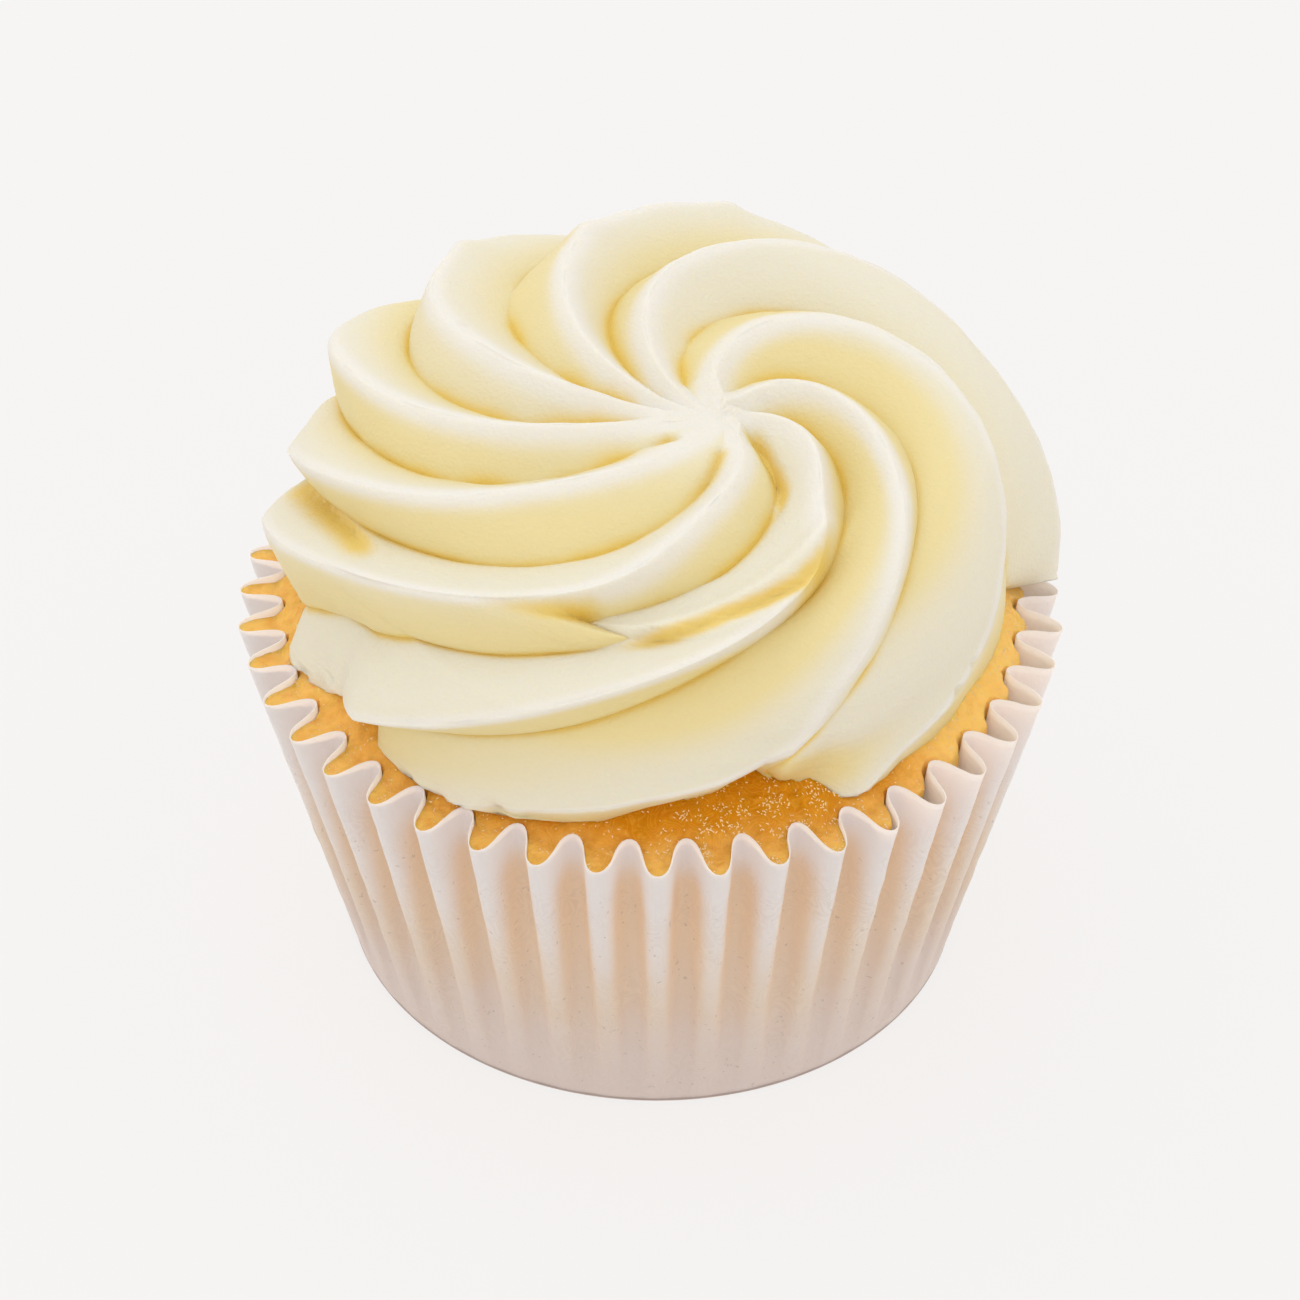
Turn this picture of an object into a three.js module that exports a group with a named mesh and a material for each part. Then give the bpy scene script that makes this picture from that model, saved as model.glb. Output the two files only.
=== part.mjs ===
// A cupcake: a golden sponge baked in a fluted paper case, with one broad rosette of piped buttercream.
// Millimetres, +Z up, the origin at the foot of the case, under the middle of its rim.
import * as THREE from "three";

// Paper case: a flat disc pressed into a cup, so its wall keeps the length of the disc it came from.
// The base sits a little off the middle of the rim (BASE_X, BASE_Y). The flutes start with an outer fold at
// FLUTE_START degrees, and those at the sides are shifted by up to FLUTE_CROWDING degrees towards the back.
const BASE_RADIUS = 24;
const BASE_X = 0.6;
const BASE_Y = -1.2;
const WALL_LENGTH = 29.4;
const CREASE_SHARE = 0.12;
const RIM_RADIUS = 29.85;
const FLUTES = 44;
const FLUTE_DEPTH = 1.65;
const FLUTE_SQUARENESS = 0.035;
const FLUTE_START = -88.2;
const FLUTE_CROWDING = 2.3;
const PAPER = 0.3;
const FLUTE_STEPS = 8;
const NUDGE = 0.02;

// Sponge: it touches the inner folds and bulges a little way into the outer ones. It has baked up the wall to
// SPONGE_WALL of the wall's length, and its top falls away by the fourth power of the radius.
// DOME_RINGS are shares of the shoulder's radius and SIDE_RINGS shares of the wall's length.
const GAP = 0.3;
const SPONGE_BULGE = 1.7;
const SPONGE_STEPS = 4;
const SPONGE_WALL = 0.93;
const SPONGE_EDGE = 28.2;
const SPONGE_EDGE_RADIUS = 28.6;
const SPONGE_DOME = 5.4;
const DOME_RINGS = [0.42, 0.72, 0.92];
const BRIM_SHARE = 0.985;
const BRIM_RISE = 0.2;
const SIDE_RINGS = [0.6, 0.25];

// Buttercream: a flat-topped mound with a boxy shoulder, drawn in at the foot from FOOT_START of the way out.
// It leans by shares of its own height, and the swirl's centre lies off its axis in a shallow dip. Its foot
// is brought to the level of the underside by the power FOOT_BLEND of the way out.
const MOUND_RADIUS = 29.95;
const MOUND_FOOT = 29.7;
const MOUND_HEIGHT = 19.8;
const SIDE_POWER = 5.6;
const TOP_POWER = 2.05;
const MOUND_SHIFT = 0.9;
const FOOT_TUCK = 1.4;
const FOOT_START = 0.75;
const LEAN_BACK = 0.075;
const LEAN_LEFT = 0.03;
const SWIRL_X = 4.8;
const SWIRL_Y = -1.9;
const CENTRE_DIP = 1.6;
const DIP_WIDTH = 0.22;
const CREST_ROUNDING = 0.14;
const FACE_HOLLOW = 0.3;
const OVERHANG_LEVEL = 29.4;
const FOOT_BLEND = 8;
const UNDERSIDE_RINGS = [0.93, 0.8, 0.6, 0.35];
const PROFILE_STEPS = 4000;

// The folds run from the swirl's centre out to the foot, turning clockwise as seen from above.
// STATIONS are the shares of the way out at which the lists below give their values.
const STATIONS = [0.1, 0.3, 0.5, 0.7, 0.85, 1];
const PLAIN_SHARE = [0.5, 0.5, 0.48, 0.44, 0.4, 0.4];
const PLAIN_DEPTH = [0.1, 2.2, 2.6, 2.5, 2.0, 1.4];

// crest: bearing of the fold's crest in degrees. share: how far round towards the next fold its crease lies.
// depth: how deep that crease is. inset: how far the crest itself lies inside the mound.
const FOLDS = [
  {
    crest: [166, 138, 108, 70, 51, 36],
    share: PLAIN_SHARE,
    depth: [0.5, 2.2, 2.6, 1.4, 0.8, 0.8],
    inset: [0, 0, -0.3, -1.9, -1.8, -0.6],
  },
  {
    crest: [187, 172, 151.5, 112, 92, 76],
    share: PLAIN_SHARE,
    depth: [0.1, 2.2, 2.4, 1.3, 0.5, 0.8],
    inset: [0, 0, -0.3, -0.95, -0.7, 0],
  },
  {
    crest: [207, 201, 183, 154, 134, 118],
    share: PLAIN_SHARE,
    depth: [0.1, 2.2, 2.6, 1.9, 1.1, 1],
    inset: [0, 0, -0.1, -1.55, -1.1, 0],
  },
  {
    crest: [248, 231, 213, 184, 163, 148],
    share: [0.65, 0.62, 0.45, 0.37, 0.35, 0.35],
    depth: PLAIN_DEPTH,
    inset: [0, 0, 0, -0.25, 0, 0],
  },
  {
    crest: [298, 273, 254, 210, 183, 172],
    share: [0.5, 0.47, 0.2, 0.58, 0.47, 0.42],
    depth: [1.4, 2.6, 2.8, 2.6, 2.6, 1.8],
    inset: [0, 0, 0, -0.3, -1.05, -0.6],
  },
  {
    crest: [352, 314, 295, 257, 232, 207],
    share: [0.5, 0.4, 0.08, 0.28, 0.25, 0.2],
    depth: [1.4, 2.8, 2.4, 2.8, 2.4, 1.6],
    inset: [0, 0, 0, -0.3, -0.6, -0.8],
  },
  {
    crest: [396, 348, 319, 298, 285, 240],
    share: [0.5, 0.4, 0.16, 0.14, 0.16, 0.82],
    depth: [1.2, 2.6, 2, 1.8, 2.4, 4.4],
    inset: [0, 0, 0, 0.8, 1.6, 0.4],
  },
  {
    crest: [448, 406, 364, 341, 331, 301],
    share: [0.6, 0.55, 0.3, 0.2, 0.5, 0.95],
    depth: [1, 2.8, 3.2, 3.6, 3.4, 3],
    inset: [0, 0, 0.2, 1.5, 2.2, 0.6],
  },
  {
    crest: [498, 464, 424, 389, 374, 365],
    share: PLAIN_SHARE,
    depth: [0.8, 2.4, 2.8, 0.8, 0.8, 1.2],
    inset: [0, 0, -0.1, -0.2, -1.15, -1.85],
  },
];

// The foot isn't round: from FOOT_TRIM.start of the way out its edge is drawn in by these amounts, at these
// bearings in degrees round it.
const FOOT_TRIM = {
  start: 0.6,
  at: [184, 197, 202, 207, 213, 219, 223, 235, 262, 268, 279, 286, 290, 297, 302, 311, 333, 350],
  by: [0, -1.2, -0.1, 1.5, 2.5, 1.6, 0.1, -0.8, -0.55, 0.1, 0, 1.2, -0.1, 1.2, 0.5, 1.35, 1, 0],
};

// Where the surface is sampled between one crest (0), its crease (0.5) and the next crest (1).
const ACROSS = [0, 0.09, 0.22, 0.38, 0.5, 0.62, 0.78, 0.91];
const ROWS = 44;

// A small fold that leaves the sixth crest and dies out in the crease behind it.
const BRANCH = {
  start: 0.41,
  end: 0.61,
  fade: 0.06,
  bearing: 303,
  sweep: -255,
  halfWidth: 7,
  height: 0.8,
};

// Buttercream, sponge and paper colours.
const CREAM = 0xf3e9c4;
const GOLD = 0xe2a64b;
const WHITE_PAPER = 0xe6dbd6;

function clamp(value, low, high) {
  return Math.min(Math.max(value, low), high);
}

// A smooth curve through the values at the stations, running on straight beyond both ends.
function alongFold(values, s) {
  const last = STATIONS.length - 1;
  const slope = (i) => {
    const a = Math.max(i - 1, 0);
    const b = Math.min(i + 1, last);
    return (values[b] - values[a]) / (STATIONS[b] - STATIONS[a]);
  };
  if (s <= STATIONS[0]) return values[0] + slope(0) * (s - STATIONS[0]);
  let i = 0;
  while (i < last - 1 && s > STATIONS[i + 1]) i += 1;
  const width = STATIONS[i + 1] - STATIONS[i];
  const t = (s - STATIONS[i]) / width;
  const h1 = (1 + 2 * t) * (1 - t) * (1 - t);
  const h2 = t * (1 - t) * (1 - t);
  const h3 = t * t * (3 - 2 * t);
  const h4 = t * t * (t - 1);
  return h1 * values[i] + h2 * width * slope(i) + h3 * values[i + 1] + h4 * width * slope(i + 1);
}

// The mound's profile at equal steps of its own length: how far out (0 to 1) and how high (1 to 0) each is.
function moundProfile(steps) {
  const fine = PROFILE_STEPS;
  const out = (i) => {
    const t = i / fine;
    return 1 - Math.pow(1 - t, 3);
  };
  const up = (r) => Math.pow(Math.max(0, 1 - Math.pow(r, SIDE_POWER)), 1 / TOP_POWER);
  const lengths = [0];
  for (let i = 1; i <= fine; i += 1) {
    const dr = (out(i) - out(i - 1)) * MOUND_RADIUS;
    const dz = (up(out(i)) - up(out(i - 1))) * MOUND_HEIGHT;
    lengths.push(lengths[i - 1] + Math.hypot(dr, dz));
  }
  const profile = [];
  let j = 0;
  for (let k = 0; k <= steps; k += 1) {
    const target = (lengths[fine] * k) / steps;
    while (j < fine - 1 && lengths[j + 1] < target) j += 1;
    const t = (target - lengths[j]) / (lengths[j + 1] - lengths[j]);
    const r = out(j) + (out(j + 1) - out(j)) * clamp(t, 0, 1);
    profile.push({ out: r, up: up(r) });
  }
  return profile;
}

// A point of the mound at row k, bearing a (radians), sunk by drop along the mound's normal.
function moundPoint(profile, k, a, drop) {
  const here = profile[k];
  const before = profile[Math.max(k - 1, 0)];
  const after = profile[Math.min(k + 1, profile.length - 1)];
  const dr = (after.out - before.out) * MOUND_RADIUS;
  const dz = (after.up - before.up) * MOUND_HEIGHT;
  const size = Math.hypot(dr, dz);
  const s = k / (profile.length - 1);
  const tuck = FOOT_TUCK * Math.pow(clamp((s - FOOT_START) / (1 - FOOT_START), 0, 1), 2);
  const radius = MOUND_RADIUS * here.out - tuck + (drop * dz) / size;
  const centreX = MOUND_SHIFT + (SWIRL_X - MOUND_SHIFT) * (1 - here.out);
  const centreY = SWIRL_Y * (1 - here.out);
  const x = centreX + radius * Math.cos(a);
  const y = centreY + radius * Math.sin(a);
  const tilt = 1 + (LEAN_BACK * y - LEAN_LEFT * x) / MOUND_HEIGHT;
  const dip = CENTRE_DIP * Math.exp(-Math.pow(here.out / DIP_WIDTH, 2));
  const z = MOUND_FOOT + MOUND_HEIGHT * here.up * tilt - dip - (drop * dr) / size;
  return new THREE.Vector3(x, y, z);
}

// Bearing and depth of the rosette's surface between the crest of one fold and the next.
function foldSurface(index, w, s) {
  const fold = FOLDS[index];
  const next = FOLDS[(index + 1) % FOLDS.length];
  const turn = index + 1 === FOLDS.length ? 360 : 0;
  const from = alongFold(fold.crest, s);
  const to = alongFold(next.crest, s) + turn;
  const share = clamp(alongFold(fold.share, s), 0.02, 0.95);
  const fade = clamp(s / STATIONS[0], 0, 1);
  const depth = alongFold(fold.depth, s) * fade;
  const near = w < 0.5;
  const q = near ? 2 * w : 2 * (1 - w);
  const round = CREST_ROUNDING;
  const ramp = (Math.hypot(q, round) - round) / (Math.hypot(1, round) - round);
  const slope = ramp + FACE_HOLLOW * ramp * (1 - ramp);
  const crest = alongFold(near ? fold.inset : next.inset, s) * fade;
  const crease = Math.max(depth, crest);
  const bearing = from + (to - from) * (near ? q * share : 1 - q * (1 - share));
  return { bearing, drop: crest + (crease - crest) * slope + footTrim(bearing, s) };
}

// How far the rosette's edge is drawn in at a bearing, growing towards the foot.
function footTrim(bearing, s) {
  const { start, at, by } = FOOT_TRIM;
  const place = ((bearing % 360) + 360) % 360;
  const last = at.length - 1;
  if (place <= at[0] || place >= at[last]) return 0;
  const i = at.findIndex((edge) => edge > place);
  const t = (place - at[i - 1]) / (at[i] - at[i - 1]);
  return (by[i - 1] + (by[i] - by[i - 1]) * t) * Math.pow(clamp((s - start) / (1 - start), 0, 1), 2);
}

function branchSwell(bearing, s) {
  const middle = BRANCH.bearing + BRANCH.sweep * (s - BRANCH.start);
  const across = (bearing - middle) / BRANCH.halfWidth;
  const begun = clamp((s - BRANCH.start) / BRANCH.fade + 1, 0, 1);
  const left = clamp((BRANCH.end - s) / BRANCH.fade, 0, 1);
  return BRANCH.height * begun * left * Math.exp(-across * across);
}

function spongeTop(radius) {
  return SPONGE_EDGE + SPONGE_DOME * (1 - Math.pow(radius / SPONGE_EDGE_RADIUS, 4));
}

// The level of the rosette's underside: on the sponge, and clear of the paper where it reaches over the rim.
function underside(radius) {
  return Math.max(spongeTop(Math.min(radius, SPONGE_EDGE_RADIUS)) + GAP, OVERHANG_LEVEL);
}

// A closed body from rings of points, all rings of the same count, with one point at each end.
function closedRings(first, rings, last) {
  const count = rings[0].length;
  const points = [first, ...rings.flat(), last];
  const at = (ring, i) => 1 + ring * count + (i % count);
  const index = [];
  for (let i = 0; i < count; i += 1) {
    index.push(0, at(0, i), at(0, i + 1));
    index.push(points.length - 1, at(rings.length - 1, i + 1), at(rings.length - 1, i));
    for (let r = 0; r + 1 < rings.length; r += 1) {
      const [a, b, c, d] = [at(r, i), at(r + 1, i), at(r + 1, i + 1), at(r, i + 1)];
      const alongFirst = points[a].distanceTo(points[c]) < points[b].distanceTo(points[d]);
      index.push(...(alongFirst ? [a, b, c, a, c, d] : [a, b, d, b, c, d]));
    }
  }
  const geometry = new THREE.BufferGeometry().setFromPoints(points);
  geometry.setIndex(index);
  geometry.computeVertexNormals();
  return geometry;
}

// The piped rosette: folded surface from the centre to the foot, then an underside that follows the sponge.
function buttercreamGeometry() {
  const profile = moundProfile(ROWS);
  const columns = FOLDS.flatMap((fold, index) => ACROSS.map((w) => ({ index, w })));
  const rings = [];
  for (let k = 1; k <= ROWS; k += 1) {
    const s = k / ROWS;
    const ring = columns.map(({ index, w }) => {
      const { bearing, drop } = foldSurface(index, w, s);
      const sunk = drop - branchSwell(bearing, s);
      return moundPoint(profile, k, THREE.MathUtils.degToRad(bearing), sunk);
    });
    rings.push(ring);
  }
  const foot = rings[ROWS - 1];
  columns.forEach((column, c) => {
    const lift = underside(Math.hypot(foot[c].x, foot[c].y)) - foot[c].z;
    rings.forEach((ring, k) => {
      ring[c].z += lift * Math.pow((k + 1) / ROWS, FOOT_BLEND);
    });
  });
  for (const share of UNDERSIDE_RINGS) {
    const ring = foot.map((p) => {
      const inner = new THREE.Vector3(p.x * share, p.y * share, 0);
      inner.z = underside(Math.hypot(inner.x, inner.y));
      return inner;
    });
    rings.push(ring);
  }
  const top = moundPoint(profile, 0, 0, 0);
  return closedRings(top, rings, new THREE.Vector3(0, 0, underside(0)));
}

// Bearing of a phase counted in flutes round the case.
function fluteBearing(phase) {
  const squared = phase + FLUTE_SQUARENESS * Math.sin(4 * Math.PI * phase);
  const even = THREE.MathUtils.degToRad(FLUTE_START) + (2 * Math.PI * squared) / FLUTES;
  return even + THREE.MathUtils.degToRad(FLUTE_CROWDING) * Math.pow(Math.cos(even), 3);
}

// Middle of the paper at distance s up the wall from the base's edge, phase counted in flutes.
function paperPoint(s, phase) {
  const share = s / WALL_LENGTH;
  const swell = FLUTE_DEPTH * share * Math.cos(2 * Math.PI * phase);
  const out = (RIM_RADIUS - BASE_RADIUS) * share + swell;
  const up = Math.sqrt(Math.max(0, s * s - out * out));
  const a = fluteBearing(phase);
  const radius = BASE_RADIUS + out;
  return new THREE.Vector3(
    BASE_X * (1 - share) + radius * Math.cos(a),
    BASE_Y * (1 - share) + radius * Math.sin(a),
    up,
  );
}

// The same point moved by half the paper's thickness to the outside (side 1) or the inside (side -1).
function paperFace(s, phase, side) {
  const up = paperPoint(s + NUDGE, phase).sub(paperPoint(s - NUDGE, phase));
  const round = paperPoint(s, phase + NUDGE).sub(paperPoint(s, phase - NUDGE));
  const normal = round.cross(up).normalize();
  return paperPoint(s, phase).addScaledVector(normal, (side * PAPER) / 2);
}

// A ring of points, steps to a flute, with two of them on the round of each fold.
function aroundFlutes(steps, make) {
  return Array.from({ length: FLUTES * steps }, (_, i) => make((i + 0.5) / steps));
}

function flatRing(steps, radius, z) {
  return aroundFlutes(steps, (phase) => {
    const a = fluteBearing(phase);
    return new THREE.Vector3(BASE_X + radius * Math.cos(a), BASE_Y + radius * Math.sin(a), z);
  });
}

function paperCaseGeometry() {
  const levels = [CREASE_SHARE, 1].map((share) => share * WALL_LENGTH);
  const inside = levels.map((s) => aroundFlutes(FLUTE_STEPS, (phase) => paperFace(s, phase, -1)));
  const outside = levels.map((s) => aroundFlutes(FLUTE_STEPS, (phase) => paperFace(s, phase, 1)));
  const rings = [
    flatRing(FLUTE_STEPS, BASE_RADIUS - PAPER, PAPER),
    ...inside,
    ...outside.reverse(),
    flatRing(FLUTE_STEPS, BASE_RADIUS, 0),
  ];
  const middle = (z) => new THREE.Vector3(BASE_X, BASE_Y, z);
  return closedRings(middle(PAPER), rings, middle(0));
}

// The sponge's side at a share of the wall's length, clear of the paper by the gap.
function spongeSide(share, phase) {
  const s = share * WALL_LENGTH;
  const out = (RIM_RADIUS - BASE_RADIUS - FLUTE_DEPTH) * share;
  const foldRadius = BASE_RADIUS + out - PAPER / 2 - GAP;
  const bulge = SPONGE_BULGE * share * (0.5 + 0.5 * Math.cos(2 * Math.PI * phase));
  const a = fluteBearing(phase);
  return new THREE.Vector3(
    BASE_X * (1 - share) + (foldRadius + bulge) * Math.cos(a),
    BASE_Y * (1 - share) + (foldRadius + bulge) * Math.sin(a),
    Math.sqrt(s * s - out * out),
  );
}

function spongeGeometry() {
  const shoulder = aroundFlutes(SPONGE_STEPS, (phase) => spongeSide(SPONGE_WALL, phase));
  const dome = DOME_RINGS.map((share) => shoulder.map((p) => {
    const radius = Math.hypot(p.x, p.y) * share;
    return new THREE.Vector3(p.x * share, p.y * share, spongeTop(radius));
  }));
  const brim = shoulder.map((p) => {
    return new THREE.Vector3(p.x * BRIM_SHARE, p.y * BRIM_SHARE, SPONGE_EDGE + BRIM_RISE);
  });
  const sides = SIDE_RINGS.map((share) => aroundFlutes(SPONGE_STEPS, (phase) => spongeSide(share, phase)));
  const foot = flatRing(SPONGE_STEPS, BASE_RADIUS - PAPER - 2 * GAP, PAPER + GAP);
  const top = new THREE.Vector3(0, 0, spongeTop(0));
  const bottom = new THREE.Vector3(BASE_X, BASE_Y, PAPER + GAP);
  return closedRings(top, [...dome, brim, shoulder, ...sides, foot], bottom);
}

function piece(name, geometry, color, roughness) {
  const material = new THREE.MeshStandardMaterial({ color, roughness, metalness: 0 });
  const mesh = new THREE.Mesh(geometry, material);
  mesh.name = name;
  return mesh;
}

const cupcake = new THREE.Group();
cupcake.name = "cupcake";
cupcake.add(piece("paper_case", paperCaseGeometry(), WHITE_PAPER, 0.8));
cupcake.add(piece("sponge_cake", spongeGeometry(), GOLD, 0.55));
cupcake.add(piece("buttercream_swirl", buttercreamGeometry(), CREAM, 0.5));

export default cupcake;
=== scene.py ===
import math

import bpy
import numpy as np
from mathutils import Matrix, Vector, noise
from mathutils.bvhtree import BVHTree


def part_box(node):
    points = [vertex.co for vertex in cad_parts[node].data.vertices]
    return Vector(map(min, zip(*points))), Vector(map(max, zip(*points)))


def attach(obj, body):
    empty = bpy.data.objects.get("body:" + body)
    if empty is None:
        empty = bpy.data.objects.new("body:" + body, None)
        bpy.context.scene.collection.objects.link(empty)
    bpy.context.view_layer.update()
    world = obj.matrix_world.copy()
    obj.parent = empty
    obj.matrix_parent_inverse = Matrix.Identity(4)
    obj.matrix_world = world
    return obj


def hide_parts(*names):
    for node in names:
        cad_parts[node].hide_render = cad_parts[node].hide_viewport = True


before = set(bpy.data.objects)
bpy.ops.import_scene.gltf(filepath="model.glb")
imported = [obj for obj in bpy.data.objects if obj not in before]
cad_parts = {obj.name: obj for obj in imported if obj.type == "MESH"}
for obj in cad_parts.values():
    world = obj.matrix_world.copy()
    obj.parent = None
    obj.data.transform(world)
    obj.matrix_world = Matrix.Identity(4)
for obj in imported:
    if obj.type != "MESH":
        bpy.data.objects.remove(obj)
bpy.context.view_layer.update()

# Camera: it stands off in front of the cupcake, looks down on it and is turned a little about its own axis.
MM = 0.001
VIEW_DISTANCE = 350 * MM
VIEW_DOWN = math.radians(39.45)
VIEW_ROLL = math.radians(1.24)
VIEW_CENTRE = Vector((0.06, 0, 23.62)) * MM
FRAME_WIDTH = 100.1 * MM

eye = bpy.data.cameras.new("eye")
eye.sensor_width = 36
eye.lens = eye.sensor_width * VIEW_DISTANCE / FRAME_WIDTH
eye.clip_start = 0.01
camera = bpy.data.objects.new("camera", eye)
bpy.context.scene.collection.objects.link(camera)
back = Vector((0, -math.cos(VIEW_DOWN), math.sin(VIEW_DOWN)))
level = Vector((1, 0, 0))
steep = back.cross(level)
right = level * math.cos(VIEW_ROLL) + steep * math.sin(VIEW_ROLL)
up = steep * math.cos(VIEW_ROLL) - level * math.sin(VIEW_ROLL)
camera.matrix_world = Matrix((right, up, back)).transposed().to_4x4()
camera.location = VIEW_CENTRE + back * VIEW_DISTANCE
bpy.context.scene.camera = camera


# Studio: a pale floor that glows like a light table, a room that is warm near the ground and cool overhead, a
# large soft lamp high behind the cupcake and a warm low one in front.
def studio_light(name, size, power, place, target, tint):
    lamp = bpy.data.lights.new(name, "AREA")
    lamp.shape = "DISK"
    lamp.size = size
    lamp.energy = power
    lamp.color = tint
    holder = bpy.data.objects.new(name, lamp)
    holder.location = place
    holder.rotation_euler = (Vector(target) - Vector(place)).to_track_quat("-Z", "Y").to_euler()
    bpy.context.scene.collection.objects.link(holder)


def new_paint(name, settings):
    """A material, its node tree and its shader, with the settings on the shader's own sockets."""
    paint = bpy.data.materials.new(name)
    paint.use_nodes = True
    shader = paint.node_tree.nodes["Principled BSDF"]
    for socket, value in settings.items():
        shader.inputs[socket].default_value = value
    return paint, paint.node_tree, shader


bpy.context.scene.view_settings.view_transform = "Standard"
room = bpy.data.worlds.new("white_room")
room.use_nodes = True
direction = room.node_tree.nodes.new("ShaderNodeTexCoord").outputs["Generated"]
steepness = room.node_tree.nodes.new("ShaderNodeSeparateXYZ")
room.node_tree.links.new(direction, steepness.inputs[0])
sky = room.node_tree.nodes.new("ShaderNodeMix")
sky.data_type = "RGBA"
sky.inputs["A"].default_value = (1.0, 0.90, 0.76, 1)
sky.inputs["B"].default_value = (0.97, 1.0, 1.05, 1)
room.node_tree.links.new(steepness.outputs["Z"], sky.inputs["Factor"])
room.node_tree.links.new(sky.outputs["Result"], room.node_tree.nodes["Background"].inputs["Color"])
room.node_tree.nodes["Background"].inputs["Strength"].default_value = 1.11
bpy.context.scene.world = room
studio_light("lamp_high_back", 0.6, 0.7, (-0.2, 0.3, 0.7), (0, 0, 0.03), (0.97, 1.0, 1.04))
studio_light("lamp_front", 0.3, 0.15, (0.1, -0.75, 0.16), (0, 0, 0.02), (1.0, 0.87, 0.72))

FLOOR_SIDE = 4.0
FLOOR_DROP = 0.05 * MM
floor_mesh = bpy.data.meshes.new("floor")
half = FLOOR_SIDE / 2
corners = [(x, y, -FLOOR_DROP) for x, y in ((-half, -half), (half, -half), (half, half), (-half, half))]
floor_mesh.from_pydata(corners, [], [(0, 1, 2, 3)])
floor_paint = new_paint(
    "pale_floor",
    {
        "Base Color": (0.12, 0.12, 0.12, 1),
        "Roughness": 0.9,
        "Specular IOR Level": 0.0,
        "Emission Color": (0.93, 0.915, 0.905, 1),
        "Emission Strength": 0.843,
    },
)[0]
floor_mesh.materials.append(floor_paint)
floor = bpy.data.objects.new("floor", floor_mesh)
bpy.context.scene.collection.objects.link(floor)


# Paper case: thin white greaseproof paper, a disc pressed into a cup so that its wall gathers into flutes
# while it keeps the length of the disc. The cake touches the inner folds and tans them.
FLUTES = 44
FLUTE_DEPTH = 1.65 * MM
FLUTE_SQUARENESS = 0.035
FLUTE_START = math.radians(-88.2)
FLUTE_CROWDING = math.radians(2.3)
FLUTE_UNEVENNESS = 0.5
FLUTE_LEAN = 0.35
CAD_PAPER = 0.3 * MM
PAPER = 0.07 * MM
BASE_LEVEL = PAPER / 2 + 0.01 * MM
BASE_RADIUS = 24.0 * MM
BASE_X = 0.6 * MM
BASE_Y = -1.2 * MM
WALL_LENGTH = 29.4 * MM
case_low, case_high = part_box("paper_case")
RIM_RADIUS = (case_high.y - case_low.y - CAD_PAPER) / 2 - FLUTE_DEPTH
CASE_STEPS = 20
CASE_ROWS = 44
BASE_SHARE = 5 / CASE_ROWS
CRINKLE_HEIGHT = 0.1 * MM
CRINKLE_SCALE = 420
CRINKLE_FROM = 0.1 * MM
CRINKLE_FULL = 1.5 * MM


class Value:
    """A number in a node tree: arithmetic on it adds math nodes to the tree."""

    def __init__(self, tree, socket):
        self.tree = tree
        self.socket = socket

    def math(self, operation, *others):
        node = self.tree.nodes.new("ShaderNodeMath")
        node.operation = operation
        for socket, item in zip(node.inputs, (self, *others)):
            if isinstance(item, Value):
                self.tree.links.new(item.socket, socket)
            else:
                socket.default_value = item
        return Value(self.tree, node.outputs[0])

    def __add__(self, other):
        return self.math("ADD", other)

    def __sub__(self, other):
        return self.math("SUBTRACT", other)

    def __mul__(self, other):
        return self.math("MULTIPLY", other)

    def __truediv__(self, other):
        return self.math("DIVIDE", other)

    def between(self, low, high):
        return self.math("MAXIMUM", low).math("MINIMUM", high)

    def ramp(self, start, end):
        node = self.tree.nodes.new("ShaderNodeMapRange")
        node.interpolation_type = "SMOOTHSTEP"
        self.tree.links.new(self.socket, node.inputs["Value"])
        node.inputs["From Min"].default_value = start
        node.inputs["From Max"].default_value = end
        return Value(self.tree, node.outputs["Result"])


def add_input(tree, name, kind, value):
    tree.interface.new_socket(name, in_out="INPUT", socket_type=kind).default_value = value


def node_with(tree, kind, links=(), **settings):
    node = tree.nodes.new(kind)
    for key, value in settings.items():
        setattr(node, key, value)
    for name, source in links:
        tree.links.new(source, node.inputs[name])
    return node


def parts_of(tree, vector):
    """The X, Y and Z of a vector in a tree."""
    parts = node_with(tree, "ShaderNodeSeparateXYZ", [("Vector", vector)])
    return [Value(tree, part) for part in parts.outputs]


def noise_of(tree, here, scale, detail, distortion=0.0):
    """A noise texture's value, 0 to 1."""
    texture = node_with(tree, "ShaderNodeTexNoise", [("Vector", here)])
    texture.inputs["Scale"].default_value = scale
    texture.inputs["Detail"].default_value = detail
    texture.inputs["Distortion"].default_value = distortion
    return Value(tree, texture.outputs["Fac"])


def hand_out(tree, geometry, material):
    """The end of a tree: one real mesh, shaded smooth, with its material."""
    whole = node_with(tree, "GeometryNodeRealizeInstances", [("Geometry", geometry)])
    smooth = node_with(tree, "GeometryNodeSetShadeSmooth", [("Geometry", whole.outputs[0])])
    painted = node_with(tree, "GeometryNodeSetMaterial", [("Geometry", smooth.outputs[0])])
    painted.inputs["Material"].default_value = material
    tree.links.new(painted.outputs[0], tree.nodes.new("NodeGroupOutput").inputs[0])
    return tree


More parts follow.
